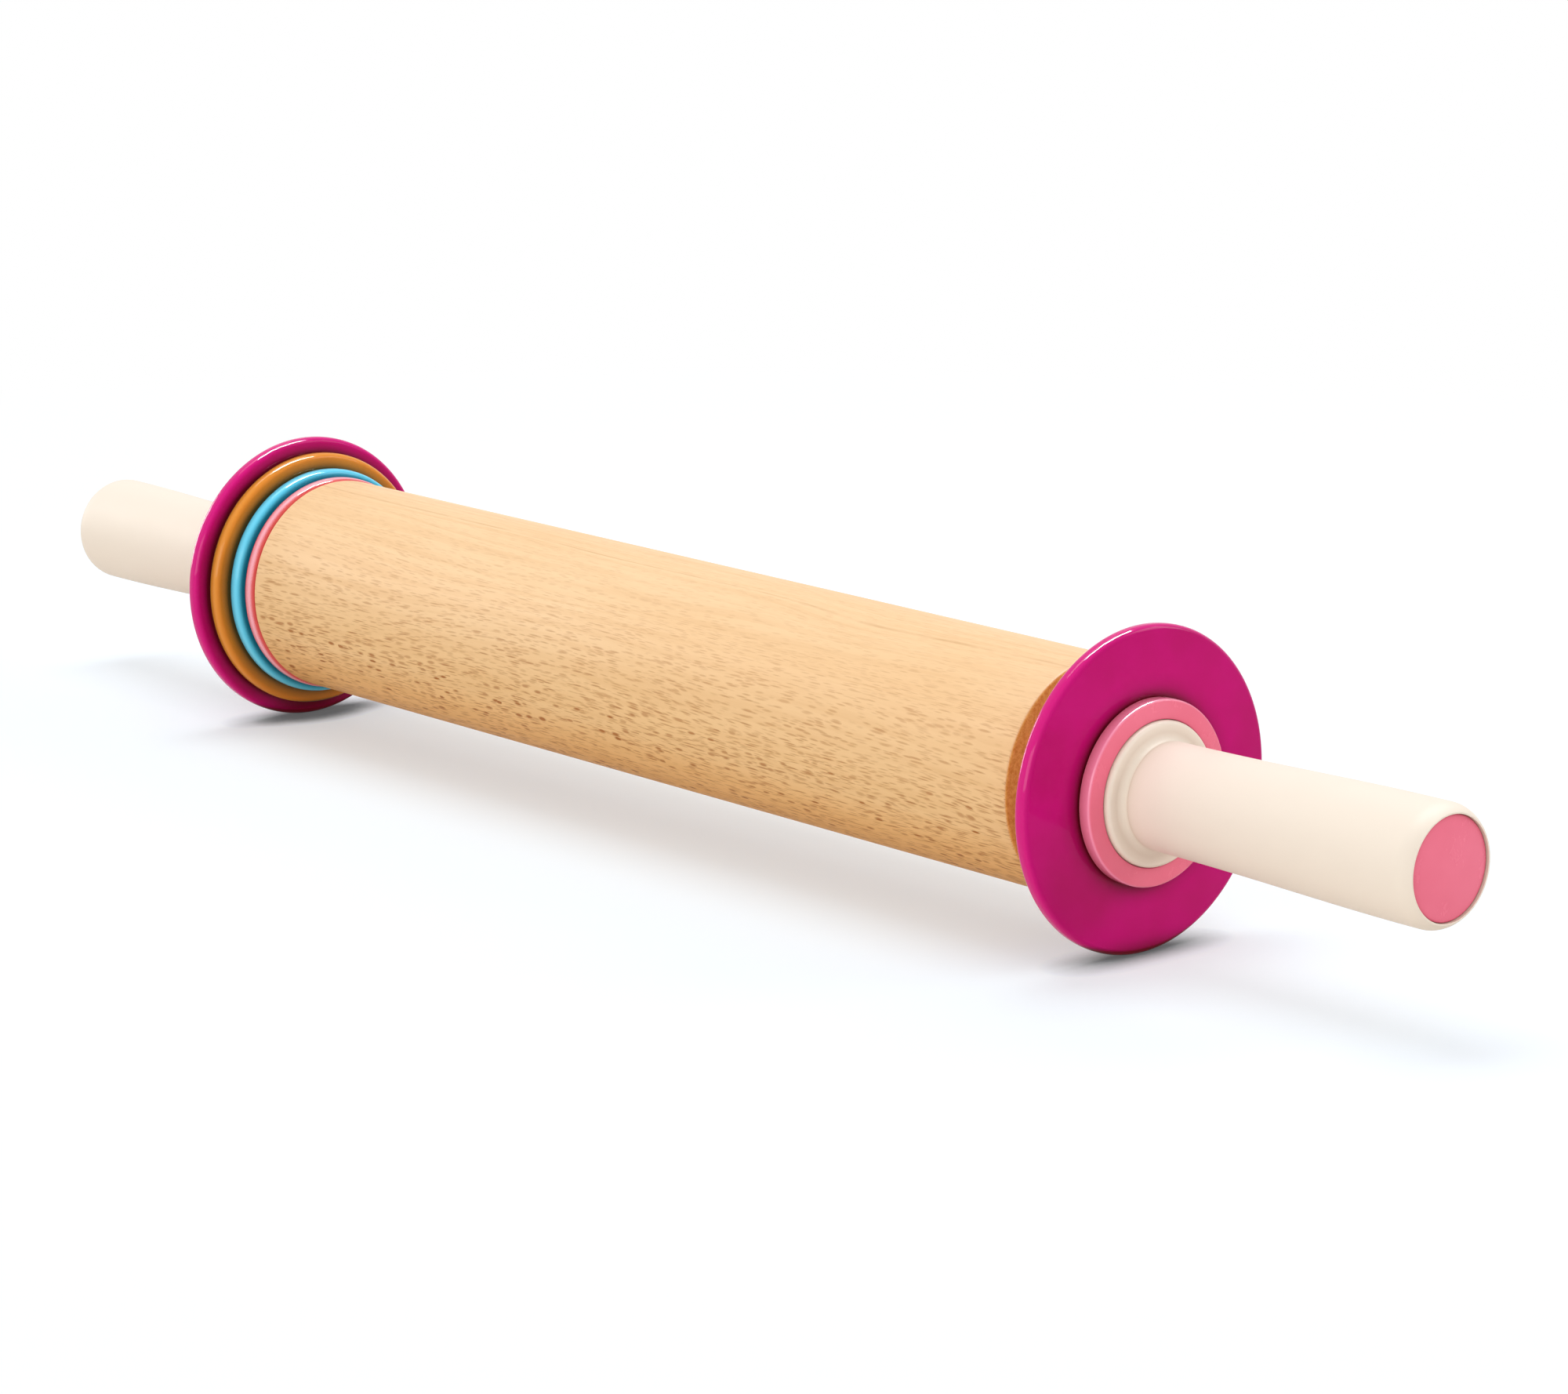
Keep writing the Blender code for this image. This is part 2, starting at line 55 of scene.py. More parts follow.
# Places read from the solids
AXLE_HEIGHT = sum(corner.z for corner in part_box("axle_rod")) / 2
ROLLER_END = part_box("roller")[1].x

# Fineness
ROUND = 192
ROUND_SMALL = 48
EDGE_STEPS = 7
CURVE_STEPS = 20
GRIP_STEPS = 36
THREAD_STEPS = 10
SMOOTH_ANGLE = math.radians(40)
MERGE_DISTANCE = 0.001 * MM

# Clearances
SEAT_GAP = 0.3 * MM
SLIDE_GAP = 0.2 * MM
OVERRUN = 1.0 * MM

# Roller and rings
ROLLER_EDGE = 0.6 * MM
RING_EDGE_SHARE = 0.4
RING_BORE_EDGE = 0.25 * MM
WASHER_EDGE = 0.12 * MM

# Hub and its screws
HUB_SHOULDER = 3.0 * MM
HUB_SEAT_EDGE = 0.3 * MM
HUB_BORE_EDGE = 0.25 * MM
THREAD_PITCH = 3.0 * MM
HUB_THREAD_DEPTH = 0.4 * MM
SLEEVE_THREAD_DEPTH = 0.45 * MM
THREAD_RUNOUT = 1.0 * MM
SCREW_COUNT = 3
SCREW_RADIUS = 1.75 * MM
SCREW_THREAD_PITCH = 1.8 * MM
SCREW_THREAD_DEPTH = 0.5 * MM
SCREW_HEAD_OVERHANG = 1.35 * MM
SCREW_HEAD_DEPTH = 1.8 * MM
SCREW_HEAD_EDGE = 0.15 * MM
SCREW_MARGIN = 1.2 * MM
SCREW_TIP = 3.0 * MM
CROSS_WIDTH = 0.8 * MM
CROSS_REACH = 1.8 * MM
CROSS_DEPTH = 1.4 * MM

# Lock collar
COLLAR_EDGE = 0.6 * MM
COLLAR_SKIRT_EDGE = 0.2 * MM
COLLAR_BORE_EDGE = 0.25 * MM
COLLAR_THICKNESS = 1.9 * MM

# Handle and end cap
BOSS_OVERHANG = 1.3 * MM
FLANGE_PROUD = 1.0 * MM
FLANGE_THICKNESS = 2.2 * MM
FLANGE_EDGE = 0.95 * MM
FLANGE_BACK_EDGE = 0.3 * MM
FLANGE_LIP_SHARE = 0.6
FLANGE_STEP = 2.4 * MM
NECK_LENGTH = 1.3 * MM
NECK_BEAD = 0.15 * MM
NECK_BEAD_LENGTH = 2.0 * MM
WAIST_DEPTH = 1.2 * MM
END_ROUNDING = 5.0 * MM
END_ROUNDING_ANGLE = 45
VISIBLE_GAP = 0.08 * MM
CAP_THICKNESS = 2.3 * MM
CAP_CROWN = 0.5 * MM
CAP_EDGE = 0.3 * MM
CAP_LEDGE = 1.25 * MM
CAP_SKIRT_WALL = 0.9 * MM


def radius_of(node):
    """The outer radius of a turned solid."""
    low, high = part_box(node)
    return (high.z - low.z) / 2


def bore_of(node):
    """The radius of a turned solid's bore, which its flats touch half way along their edges."""
    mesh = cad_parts[node].data
    middles = [(mesh.vertices[a].co + mesh.vertices[b].co) / 2 for a, b in mesh.edge_keys]
    return min(math.hypot(middle.y, middle.z - AXLE_HEIGHT) for middle in middles)


def span_of(node):
    """Where a solid of the right end starts and stops, outwards from the roller's end face."""
    low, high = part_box(node)
    return low.x - ROLLER_END, high.x - ROLLER_END


def arc(centre, radii, start, stop, steps):
    """Points of an elliptic arc in (x, r), from start to stop in degrees, 0 along +x."""
    points = []
    for i in range(steps + 1):
        angle = math.radians(start + (stop - start) * i / steps)
        x = centre[0] + radii[0] * math.cos(angle)
        r = centre[1] + radii[1] * math.sin(angle)
        points.append((x, r))
    return points


def rounded(corners):
    """A closed outline through (x, r, edge radius) corners, with an arc where there is a radius."""
    outline = []
    for i, (x, r, edge) in enumerate(corners):
        here = Vector((x, r))
        if not edge:
            outline.append((x, r))
            continue
        before = (Vector(corners[i - 1][:2]) - here).normalized()
        after = (Vector(corners[(i + 1) % len(corners)][:2]) - here).normalized()
        half = before.angle(after) / 2
        centre = here + (before + after).normalized() * (edge / math.sin(half))
        start = here + before * (edge / math.tan(half)) - centre
        stop = here + after * (edge / math.tan(half)) - centre
        turn = start.angle_signed(stop)
        for step in range(EDGE_STEPS + 1):
            point = centre + Matrix.Rotation(-turn * step / EDGE_STEPS, 2) @ start
            outline.append((point.x, point.y))
    return outline


def spin_mesh(outline, segments, places=((0.0, 0.0),)):
    """Turns a closed (x, r) outline about X at each (y, z) place."""
    bm = bmesh.new()
    for y, z in places:
        corners = [bm.verts.new((x, y, z + r)) for x, r in outline]
        edges = [bm.edges.new((corners[i - 1], corners[i])) for i in range(len(corners))]
        bmesh.ops.spin(
            bm, geom=edges, cent=(0, y, z), axis=(1, 0, 0), angle=math.tau, steps=segments,
            use_merge=True, use_duplicate=False,
        )
    return bm


def steps_along(start, stop, radius, pitch):
    """Corners along a round wall, close enough together to carry a thread."""
    count = max(2, round(abs(stop - start) / pitch * THREAD_STEPS))
    return [(start + (stop - start) * i / count, radius, 0) for i in range(1, count)]


def cut_thread(bm, radius, start, stop, pitch, depth):
    """Moves the points of a round wall outwards, by up to the depth, along a right-hand helix."""
    for vert in bm.verts:
        x, y, z = vert.co
        r = math.hypot(y, z)
        if not start < x < stop or abs(r - radius) > SLIDE_GAP / 2:
            continue
        phase = (x / pitch - math.atan2(z, y) / math.tau) % 1
        ridge = 1 - abs(2 * phase - 1)
        runout = min(1, (x - start) / THREAD_RUNOUT, (stop - x) / THREAD_RUNOUT)
        factor = 1 + depth * ridge * runout / r
        vert.co = (x, y * factor, z * factor)


def finish_mesh(bm, name, side):
    """Puts a mesh at its end of the pin and shades its round surfaces smooth."""
    bmesh.ops.remove_doubles(bm, verts=bm.verts, dist=MERGE_DISTANCE)
    bmesh.ops.recalc_face_normals(bm, faces=bm.faces)
    place = Matrix.Translation((0, 0, AXLE_HEIGHT))
    if side:
        turn = Matrix.Rotation(math.pi if SIDES[side] < 0 else 0, 4, "Z")
        place = place @ turn @ Matrix.Translation((ROLLER_END, 0, 0))
    bm.transform(place)
    mesh = bpy.data.meshes.new(name)
    bm.to_mesh(mesh)
    bm.free()
    mesh.shade_smooth()
    mesh.set_sharp_from_angle(angle=SMOOTH_ANGLE)
    return mesh


def make_object(name, data, material=None):
    """A new object in the scene: a mesh, a lamp or a camera."""
    made = bpy.data.objects.new(name, data)
    bpy.context.scene.collection.objects.link(made)
    if material:
        data.materials.append(material)
    return made


def fine_piece(node, bm, side, material, body):
    """The fine mesh that stands for a solid and moves with its body."""
    piece = make_object(f"fine_{node}", finish_mesh(bm, f"fine_{node}", side), material)
    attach(piece, body)
    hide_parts(node)
    return piece


def cut(piece, cutter_bm, side):
    """Cuts a mesh out of a piece and deletes the cutter."""
    cutter = make_object("cutter", finish_mesh(cutter_bm, "cutter", side))
    modifier = piece.modifiers.new("cut", "BOOLEAN")
    modifier.operation = "DIFFERENCE"
    modifier.solver = "EXACT"
    modifier.object = cutter
    evaluated = piece.evaluated_get(bpy.context.evaluated_depsgraph_get())
    mesh = bpy.data.meshes.new_from_object(evaluated)
    piece.modifiers.clear()
    piece.data = mesh
    bpy.data.objects.remove(cutter)


# Radii and places of the hub, which the rings and the collar seat on
HUB_BORE_RADIUS = bore_of("collar_washer_right")
SEAT_RADII = [bore_of(f"ring_{ring}_left") - SLIDE_GAP for ring in RING_NAMES]
PLUG_RADIUS = SEAT_RADII[0] - HUB_SHOULDER
ROD_BORE = bore_of("hub_right")
HUB_BACK, HUB_MOUTH = span_of("hub_right")
SCREW_START, SCREW_TOP = span_of("hub_screw_right_1")
HUB_FLOOR = SCREW_TOP + SEAT_GAP


def screw_places():
    """Centres of the hub's screws in (y, z), with a margin between their heads and the bore's wall."""
    circle_radius = HUB_BORE_RADIUS - SCREW_MARGIN - SCREW_RADIUS - SCREW_HEAD_OVERHANG
    angles = [math.tau * i / SCREW_COUNT for i in range(SCREW_COUNT)]
    return [(circle_radius * math.sin(angle), circle_radius * math.cos(angle)) for angle in angles]


def make_roller(material):
    """The barrel, with its bore and the pockets for the hubs."""
    radius = radius_of("roller")
    pocket = PLUG_RADIUS + SEAT_GAP
    floor = ROLLER_END + HUB_BACK - SEAT_GAP
    corners = [(-floor, ROD_BORE, 0), (-floor, pocket, 0), (-ROLLER_END, pocket, 0)]
    corners += [(-ROLLER_END, radius, ROLLER_EDGE), (ROLLER_END, radius, ROLLER_EDGE)]
    corners += [(ROLLER_END, pocket, 0), (floor, pocket, 0), (floor, ROD_BORE, 0)]
    fine_piece("roller", spin_mesh(rounded(corners), ROUND), None, material, "roller")


def hub_corners():
    """The outline of the stepped cup, with one seat per ring."""
    seat_pitch = (span_of("ring_magenta_right")[0] - SEAT_GAP) / (len(RING_NAMES) - 1)
    corners = [(HUB_BACK, ROD_BORE, 0), (HUB_BACK, PLUG_RADIUS, HUB_SEAT_EDGE)]
    corners += [(SEAT_GAP, PLUG_RADIUS, 0), (SEAT_GAP, SEAT_RADII[0], 0)]
    for index in range(1, len(RING_NAMES)):
        corners.append((index * seat_pitch, SEAT_RADII[index - 1], HUB_SEAT_EDGE))
        corners.append((index * seat_pitch, SEAT_RADII[index], 0))
    corners.append((HUB_MOUTH, SEAT_RADII[-1], HUB_SEAT_EDGE))
    corners.append((HUB_MOUTH, HUB_BORE_RADIUS, HUB_BORE_EDGE))
    corners += steps_along(HUB_MOUTH - 2 * HUB_BORE_EDGE, HUB_FLOOR, HUB_BORE_RADIUS, THREAD_PITCH)
    return corners + [(HUB_FLOOR, HUB_BORE_RADIUS, 0), (HUB_FLOOR, ROD_BORE, 0)]


def make_hub(side, material):
    """The stepped cup, threaded inside for the collar and countersunk for its screws."""
    bm = spin_mesh(rounded(hub_corners()), ROUND)
    cut_thread(bm, HUB_BORE_RADIUS, HUB_FLOOR, HUB_MOUTH, THREAD_PITCH, HUB_THREAD_DEPTH)
    hub = fine_piece(f"hub_{side}", bm, side, material, "roller")
    hole = SCREW_RADIUS + SEAT_GAP
    sink = hole + SCREW_HEAD_OVERHANG
    outline = [
        (HUB_BACK - OVERRUN, 0), (HUB_BACK - OVERRUN, hole), (SCREW_TOP - SCREW_HEAD_DEPTH, hole),
        (SCREW_TOP, sink), (HUB_FLOOR + OVERRUN, sink), (HUB_FLOOR + OVERRUN, 0),
    ]
    cut(hub, spin_mesh(outline, ROUND_SMALL, screw_places()), side)


def cross_arm(width, height, place):
    """One arm of a screw's cross recess, which narrows as it goes in."""
    arm = bmesh.new()
    bmesh.ops.create_cube(arm, size=1)
    bmesh.ops.scale(arm, verts=arm.verts, vec=(2 * CROSS_DEPTH, width, height))
    for vert in arm.verts:
        if vert.co.x < 0:
            vert.co.yz *= CROSS_WIDTH / max(width, height)
    bmesh.ops.translate(arm, verts=arm.verts, vec=place)
    return arm


def make_screws(side, material):
    """Countersunk screws with a cross recess and a thread."""
    shank_end = SCREW_TOP - SCREW_HEAD_DEPTH
    thread_start = SCREW_START + SCREW_TIP
    thread_end = shank_end - SCREW_TIP
    core = SCREW_RADIUS - SCREW_THREAD_DEPTH
    head = SCREW_RADIUS + SCREW_HEAD_OVERHANG
    corners = [(SCREW_START, 0, 0), (thread_start, core, 0)]
    corners += steps_along(thread_start, thread_end, core, SCREW_THREAD_PITCH)
    corners += [(thread_end, core, 0), (shank_end, SCREW_RADIUS, 0)]
    corners += [(SCREW_TOP, head, SCREW_HEAD_EDGE), (SCREW_TOP, 0, 0)]
    for number, (y, z) in enumerate(screw_places(), start=1):
        bm = spin_mesh(rounded(corners), ROUND_SMALL)
        cut_thread(bm, core, thread_start, thread_end, SCREW_THREAD_PITCH, SCREW_THREAD_DEPTH)
        bmesh.ops.translate(bm, verts=bm.verts, vec=(0, y, z))
        screw = fine_piece(f"hub_screw_{side}_{number}", bm, side, material, "roller")
        cut(screw, cross_arm(CROSS_WIDTH, 2 * CROSS_REACH, (SCREW_TOP, y, z)), side)
        cut(screw, cross_arm(2 * CROSS_REACH, CROSS_WIDTH, (SCREW_TOP, y, z)), side)


def make_ring(node, side, material):
    """A thickness ring with a full, soft rim."""
    ends = [SIDES[side] * corner.x - ROLLER_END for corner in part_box(node)]
    back, front = min(ends), max(ends)
    radius = radius_of(node)
    bore = bore_of(node)
    edge = RING_EDGE_SHARE * (front - back)
    corners = [
        (back, bore, RING_BORE_EDGE), (back, radius, edge),
        (front, radius, edge), (front, bore, RING_BORE_EDGE),
    ]
    fine_piece(node, spin_mesh(rounded(corners), ROUND), side, material, node)


def make_collar_washer(side, material):
    """The thin washer between a lock collar and the ring under it."""
    back, front = span_of("collar_washer_right")
    node = f"collar_washer_{side}"
    outer = radius_of(node)
    corners = [
        (back, HUB_BORE_RADIUS, 0), (back, outer, WASHER_EDGE),
        (front, outer, WASHER_EDGE), (front, HUB_BORE_RADIUS, 0),
    ]
    fine_piece(node, spin_mesh(rounded(corners), ROUND), side, material, node)


def make_collar(side, material):
    """The lock collar, with the thread on its sleeve and the recess that hides its washer."""
    node = f"lock_collar_{side}"
    start, face = span_of("lock_collar_right")
    back = face - COLLAR_THICKNESS
    recess = radius_of("collar_washer_right") + SEAT_GAP
    mouth = span_of("collar_washer_right")[0]
    radius = radius_of(node)
    bore = radius_of("handle_right") + VISIBLE_GAP
    core = HUB_BORE_RADIUS - SLIDE_GAP - SLEEVE_THREAD_DEPTH
    corners = [(start, bore, 0), (start, core, 0)]
    corners += steps_along(start, back, core, THREAD_PITCH)
    corners += [(back, core, 0), (back, recess, 0), (mouth, recess, 0)]
    corners += [(mouth, radius, COLLAR_SKIRT_EDGE), (face, radius, COLLAR_EDGE)]
    corners.append((face, bore, COLLAR_BORE_EDGE))
    bm = spin_mesh(rounded(corners), ROUND)
    cut_thread(bm, core, start, back, THREAD_PITCH, SLEEVE_THREAD_DEPTH)
    fine_piece(node, bm, side, material, node)


def handle_outline(node):
    """The boss, the flange, the beaded neck, the waisted grip and the end with the cap's recess."""
    start, end = span_of(node)
    face = span_of("lock_collar_right")[1] + FLANGE_PROUD
    flange_radius = radius_of(node)
    boss_radius = flange_radius - BOSS_OVERHANG
    end_radius = flange_radius - FLANGE_STEP
    neck_radius = end_radius - WAIST_DEPTH
    face_width = flange_radius - neck_radius
    lip = flange_radius - FLANGE_LIP_SHARE * face_width
    neck_end = face + NECK_LENGTH
    grip_end = end - END_ROUNDING * math.sin(math.radians(END_ROUNDING_ANGLE))
    flange_back = face - FLANGE_THICKNESS
    corners = [
        (start, ROD_BORE, 0), (start, boss_radius, 0), (flange_back, boss_radius, 0),
        (flange_back, flange_radius, FLANGE_BACK_EDGE), (face, flange_radius, FLANGE_EDGE),
    ]
    neck = arc((neck_end, lip), (NECK_LENGTH, lip - neck_radius + NECK_BEAD), 180, 270, CURVE_STEPS)
    corners += [(*point, 0) for point in neck]
    bead_end = neck_end + NECK_BEAD_LENGTH
    bead = arc((bead_end, neck_radius - NECK_BEAD), (NECK_BEAD_LENGTH, NECK_BEAD), 180, 90, EDGE_STEPS)
    corners += [(*point, 0) for point in bead[1:-1]]
    for i in range(GRIP_STEPS):
        share = i / GRIP_STEPS
        swell = WAIST_DEPTH * (1 - math.cos(math.pi * share)) / 2
        corners.append((bead_end + (grip_end - bead_end) * share, neck_radius + swell, 0))
    centre = (grip_end, end_radius - END_ROUNDING)
    rounding = arc(centre, (END_ROUNDING, END_ROUNDING), 90, 90 - END_ROUNDING_ANGLE, CURVE_STEPS)
    corners += [(*point, 0) for point in rounding[:-1]]
    recess = end - CAP_CROWN - CAP_THICKNESS - SEAT_GAP
    chamber = radius_of("end_cap_right") - CAP_LEDGE
    cap_wall = radius_of("end_cap_right") + SEAT_GAP
    chamber_floor = span_of("outer_bush_right")[1] + SEAT_GAP
    corners += [(*rounding[-1], VISIBLE_GAP / 2), (end, cap_wall, VISIBLE_GAP / 2)]
    corners += [(recess, cap_wall, 0), (recess, chamber, 0)]
    corners += [(chamber_floor, chamber, 0), (chamber_floor, ROD_BORE, 0)]
    return rounded(corners)


def make_handle(side, material):
    """A turned handle, the same at both ends."""
    node = f"handle_{side}"
    fine_piece(node, spin_mesh(handle_outline("handle_right"), ROUND), side, material, node)


def make_cap(side, material):
    """The plain crowned cap in the handle's end, with its skirt."""
    skirt_end, end = span_of("end_cap_right")
    radius = radius_of("end_cap_right") + SEAT_GAP - VISIBLE_GAP
    skirt = radius_of("end_cap_right") - CAP_LEDGE - SEAT_GAP
    face = end - CAP_CROWN
    back = face - CAP_THICKNESS
    corners = [(back, 0), (back, skirt - CAP_SKIRT_WALL), (skirt_end, skirt - CAP_SKIRT_WALL)]
    corners += [(skirt_end, skirt), (back, skirt), (back, radius)]
    corners += arc((face - CAP_EDGE, radius - CAP_EDGE), (CAP_EDGE, CAP_EDGE), 90, 0, EDGE_STEPS)
    crown_width = radius - CAP_EDGE
    for i in range(1, CURVE_STEPS + 1):
        r = crown_width * (1 - i / CURVE_STEPS)
        corners.append((face + CAP_CROWN * (1 - (r / crown_width) ** 2), r))
    fine_piece(f"end_cap_{side}", spin_mesh(corners, ROUND), side, material, f"handle_{side}")


def add_node(tree, kind, inputs=None, **settings):
    """Adds a shader node. Its inputs are values, or the sockets that feed them."""
    made = tree.nodes.new(f"ShaderNode{kind}")
    for key, value in settings.items():
        setattr(made, key, value)
    for key, value in (inputs or {}).items():
        if isinstance(value, bpy.types.NodeSocket):
            tree.links.new(value, made.inputs[key])
        else:
            made.inputs[key].default_value = value
    return made


def calculate(tree, operation, first, second=0.0):
    """One step of arithmetic."""
    return add_node(tree, "Math", {0: first, 1: second}, operation=operation).outputs[0]


def calculate_vector(tree, operation, inputs, output=0):
    """One step of arithmetic with vectors."""
    return add_node(tree, "VectorMath", inputs, operation=operation).outputs[output]


def blend_colors(tree, factor, first, second):
    """Mixes two colours. The colour sockets of a mix node are its seventh and eighth."""
    inputs = {0: factor, 6: first, 7: second}
    return add_node(tree, "Mix", inputs, data_type="RGBA").outputs[2]


def spread(tree, value, low, high, to_low=0.0, to_high=1.0):
    """Maps low..high to to_low..to_high, held at both ends."""
    inputs = {"Value": value, "From Min": low, "From Max": high, "To Min": to_low, "To Max": to_high}
    return add_node(tree, "MapRange", inputs).outputs[0]


def noise(tree, vector, scale, detail=2.0, roughness=0.5, output="Fac"):
    """A cloudy pattern with values from 0 to 1."""
    inputs = {"Vector": vector, "Scale": scale, "Detail": detail, "Roughness": roughness}
    return add_node(tree, "TexNoise", inputs).outputs[output]


def stretched(tree, vector, scale):
    """Places scaled along each axis, which makes a pattern finer or draws it out."""
    return add_node(tree, "Mapping", {"Vector": vector, "Scale": scale}).outputs[0]


def add_bump(tree, shader, height, strength, distance):
    """A fine relief that the shading shows."""
    bump = add_node(tree, "Bump", {"Height": height, "Strength": strength, "Distance": distance})
    tree.links.new(bump.outputs[0], shader.inputs["Normal"])


def new_material(name):
    """A material with its node tree and its shader."""
    material = bpy.data.materials.new(name)
    material.use_nodes = True
    tree = material.node_tree
    return material, tree, tree.nodes["Principled BSDF"]


def srgb(red, green, blue):
    """A colour given as the screen shows it, in the shader's linear values."""
    linear = []
    for value in (red, green, blue):
        share = value / 255
        linear.append(share / 12.92 if share <= 0.04045 else ((share + 0.055) / 1.055) ** 2.4)
    return (*linear, 1.0)


# The part of a noise's range that patterns use, and the middle of its colours
NOISE_RANGE = (0.3, 0.7)
NOISE_MIDDLE = (0.5, 0.5, 0.5)

# Plastics. Their colour is clouded with the deep one. In corners it goes over to the corner colour, a
# painted shade, by the share, and a share over 1 brings that shade further out. The edge colour, on
# surfaces that face across the axle, is a painted highlight on the rings, collars and caps. Gloss is
# the specular level, and peel the height of the relief
PLASTICS = {
    "magenta_plastic": {
        "color": (204, 6, 122), "deep": (190, 8, 106),
        "edge": (216, 0, 126), "corner": (100, 16, 20), "share": 0.95,
        "roughness": 0.05, "gloss": 0.08, "edge_coat": 0.34, "peel": 0.0005 * MM,
    },
    "orange_plastic": {
        "color": (228, 142, 48), "deep": (216, 130, 40),
        "edge": (230, 146, 48), "corner": (66, 66, 36), "share": 0.95,
        "roughness": 0.05, "gloss": 0.12, "edge_coat": 0.34, "peel": 0.0005 * MM,
    },
    "blue_plastic": {
        "color": (90, 210, 244), "deep": (78, 200, 236),
        "edge": (108, 216, 248), "corner": (0, 120, 150), "share": 0.95,
        "roughness": 0.05, "gloss": 0.15, "edge_coat": 0.42, "peel": 0.0005 * MM,
    },
    "pink_plastic": {
        "color": (252, 176, 190), "deep": (248, 166, 180),
        "edge": (252, 178, 192), "corner": (226, 90, 90), "share": 9.0,
        "roughness": 0.06, "gloss": 0.2, "edge_coat": 0.2, "peel": 0.0005 * MM,
    },
    "coral_plastic": {
        "color": (249, 125, 152), "deep": (243, 116, 143),
        "edge": (255, 150, 182), "corner": (190, 48, 78), "share": 0.6,
        "roughness": 0.24, "gloss": 0.2, "edge_coat": 0.8, "peel": 0.003 * MM,
    },
    "cream_plastic": {
        "color": (247, 235, 221), "deep": (243, 230, 215),
        "edge": (245, 233, 218), "corner": (172, 138, 114), "share": 0.42,
        "roughness": 0.5, "gloss": 0.1, "edge_coat": 0.0, "peel": 0.008 * MM,
    },
    "white_nylon": {
        "color": (232, 232, 226), "deep": (222, 222, 215),
        "edge": (230, 230, 224), "corner": (190, 190, 184), "share": 0.5,
        "roughness": 0.45, "gloss": 0.5, "edge_coat": 0.0, "peel": 0.01 * MM,
    },
}
CLOUD_SCALE = 70.0
SMEAR_SCALE = 160.0
SMEAR_LEAST = 0.85
SMEAR_MOST = 1.25
MARK_STRETCH = (40.0, 900.0, 260.0)
MARK_SCALE = 3.0
MARK_RANGE = (0.58, 0.72)
MARK_WEAR = 0.1
PEEL_SCALE = 900.0
PEEL_STRENGTH = 1.0

# Painted shade in corners: how near a surface has to be to close a place in, and how open the place is
# where the corner colour is full and where it ends
PAINTED_SHADE_REACH = 5.0 * MM
PAINTED_SHADE_SAMPLES = 8
PAINTED_SHADE_RANGE = (0.5, 0.93)

# How much a surface faces along the axle where the edge's colour, a painted highlight, and its coat are
# full and where they end
EDGE_RANGE = (0.6, 0.95)


def plastic(name, color, deep, edge, corner, share, roughness, gloss, edge_coat, peel):
    """Moulded plastic: slight clouds in its colour, soft orange peel and fine handling marks.

    In corners its colour goes over to the corner colour, a painted shade. Its turned edges get the edge
    colour, a painted highlight on the rings, collars and caps, and a polish of their own, the edge
    coat, which its flat faces lack.
    """
    material, tree, shader = new_material(name)
    coordinates = add_node(tree, "TexCoord")
    place = coordinates.outputs["Object"]
    clouds = spread(tree, noise(tree, place, CLOUD_SCALE, detail=3.0), *NOISE_RANGE)
    # Openness, which sets the painted shade in corners
    openness = add_node(tree, "AmbientOcclusion", {"Distance": PAINTED_SHADE_REACH}, samples=PAINTED_SHADE_SAMPLES)
    depth = spread(tree, openness.outputs["AO"], *PAINTED_SHADE_RANGE, share, 0.0)
    normal = add_node(tree, "SeparateXYZ", {0: coordinates.outputs["Normal"]}).outputs["X"]
    facing = calculate(tree, "ABSOLUTE", normal)
    body = blend_colors(tree, clouds, srgb(*color), srgb(*deep))
    # Painted highlight: the edge colour where a surface faces across the axle
    body = blend_colors(tree, spread(tree, facing, *EDGE_RANGE, 1.0, 0.0), body, srgb(*edge))
    # Painted shade: the corner colour where the place is closed in
    body = blend_colors(tree, depth, body, srgb(*corner))
    tree.links.new(body, shader.inputs["Base Color"])
    shader.inputs["Specular IOR Level"].default_value = gloss
    if edge_coat:
        shader.inputs["Coat Roughness"].default_value = roughness
        coat = spread(tree, facing, *EDGE_RANGE, edge_coat, 0.0)
        tree.links.new(coat, shader.inputs["Coat Weight"])
    smear = noise(tree, place, SMEAR_SCALE, detail=4.0, roughness=0.6)
    marks = noise(tree, stretched(tree, place, MARK_STRETCH), MARK_SCALE, detail=3.0, roughness=0.65)
    worn = calculate(tree, "MULTIPLY", spread(tree, marks, *MARK_RANGE), roughness * MARK_WEAR)
    base = spread(tree, smear, *NOISE_RANGE, roughness * SMEAR_LEAST, roughness * SMEAR_MOST)
    tree.links.new(calculate(tree, "ADD", base, worn), shader.inputs["Roughness"])
    add_bump(tree, shader, noise(tree, place, PEEL_SCALE), PEEL_STRENGTH, peel)
    return material


# Colours of the wood, each laid over the ones before it, and those of its end grain
WOOD_LIGHT = (248, 212, 167)
WOOD_CLOUDED = (243, 202, 152)
# Painted shade on the flecked lower side, darker and redder, partly the wood's own tone there
WOOD_FLECKED_SIDE_SHADE = (238, 197, 139)
# Painted shade on the underside: darker and more orange
WOOD_UNDERSIDE_PAINTED_SHADE = (238, 174, 90)
WOOD_LATEWOOD = (216, 166, 108)
WOOD_STREAK = (214, 162, 104)
WOOD_LINE = (190, 132, 72)
WOOD_FLECK = (170, 104, 48)
END_GRAIN_LIGHT = (248, 192, 102)
END_GRAIN_DARK = (222, 152, 68)

# Where the overlaid colours start, or start and get full, and how strong they get
# The flecked side's painted shade
FLECKED_SIDE_SHADE_START = 0.4
FLECKED_SIDE_SHADE_SHARE = 0.75
